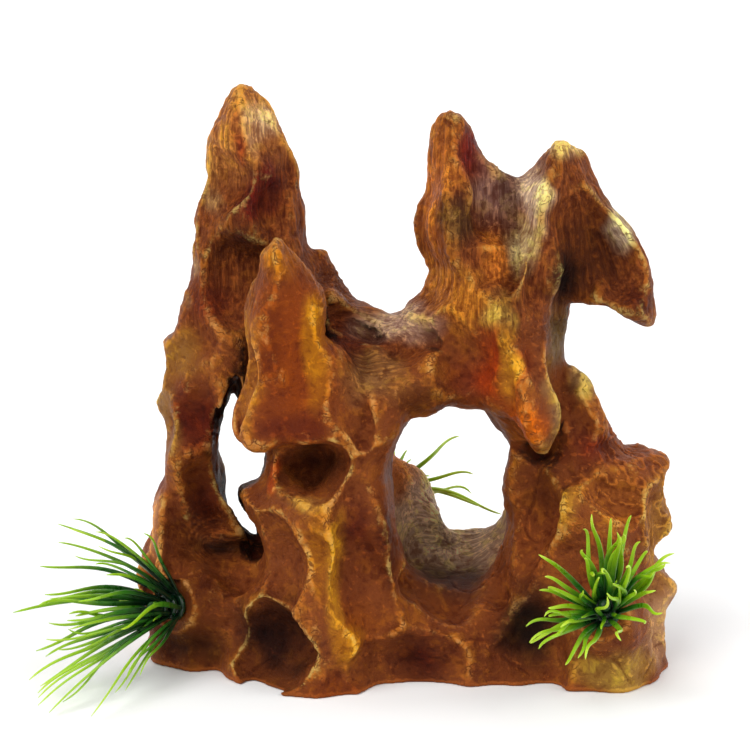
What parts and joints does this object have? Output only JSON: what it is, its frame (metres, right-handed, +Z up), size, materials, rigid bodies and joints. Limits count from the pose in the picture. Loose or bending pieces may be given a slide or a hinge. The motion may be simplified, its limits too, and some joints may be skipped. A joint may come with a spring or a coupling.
{
  "type": "aquarium rock cave ornament",
  "caption": "Cast-resin rock cave for an aquarium, with a tall tower, a twin-peaked crown, a tunnel, a window slot and push-in tufts of plastic grass.",
  "frame": {"origin": "on the flat underside, below the middle of the saddle between the tower and the crown", "axes": "+Z up, +X to the right along the ornament's length, -Y towards its front; the underside is the plane Z = 0"},
  "size_m": [0.2075, 0.141, 0.1811],
  "materials": {
    "painted_resin": "satin hand-painted resin, orange-brown with dark washes and dry-brushed ochre ridges",
    "dark_stem": "moulded dark green plastic",
    "grass_leaf": "soft moulded plastic, dark green at the root and yellow-green at the tip"
  },
  "bodies": {
    "rock": {"rock_casting": "painted_resin"},
    "left_tuft": {"left_tuft_peg": "dark_stem", "left_tuft_outer_whorl": "grass_leaf", "left_tuft_middle_whorl": "grass_leaf", "left_tuft_inner_whorl": "grass_leaf", "left_tuft_cap": "dark_stem"},
    "right_tuft": {"right_tuft_peg": "dark_stem", "right_tuft_outer_whorl": "grass_leaf", "right_tuft_middle_whorl": "grass_leaf", "right_tuft_inner_whorl": "grass_leaf", "right_tuft_cap": "dark_stem"},
    "rear_tuft": {"rear_tuft_peg": "dark_stem", "rear_tuft_outer_whorl": "grass_leaf", "rear_tuft_middle_whorl": "grass_leaf", "rear_tuft_inner_whorl": "grass_leaf", "rear_tuft_cap": "dark_stem"}
  },
  "joints": [
    {"name": "left_tuft_pull", "type": "slide", "parent": "rock", "child": "left_tuft", "axis": [-0.7286, -0.6679, 0.1518], "range_m": [0, 0.009]},
    {"name": "right_tuft_pull", "type": "slide", "parent": "rock", "child": "right_tuft", "axis": [-0.1009, -0.8575, 0.5044], "range_m": [0, 0.009]},
    {"name": "rear_tuft_pull", "type": "slide", "parent": "rock", "child": "rear_tuft", "axis": [0.1009, 0.8575, 0.5044], "range_m": [0, 0.009]}
  ]
}
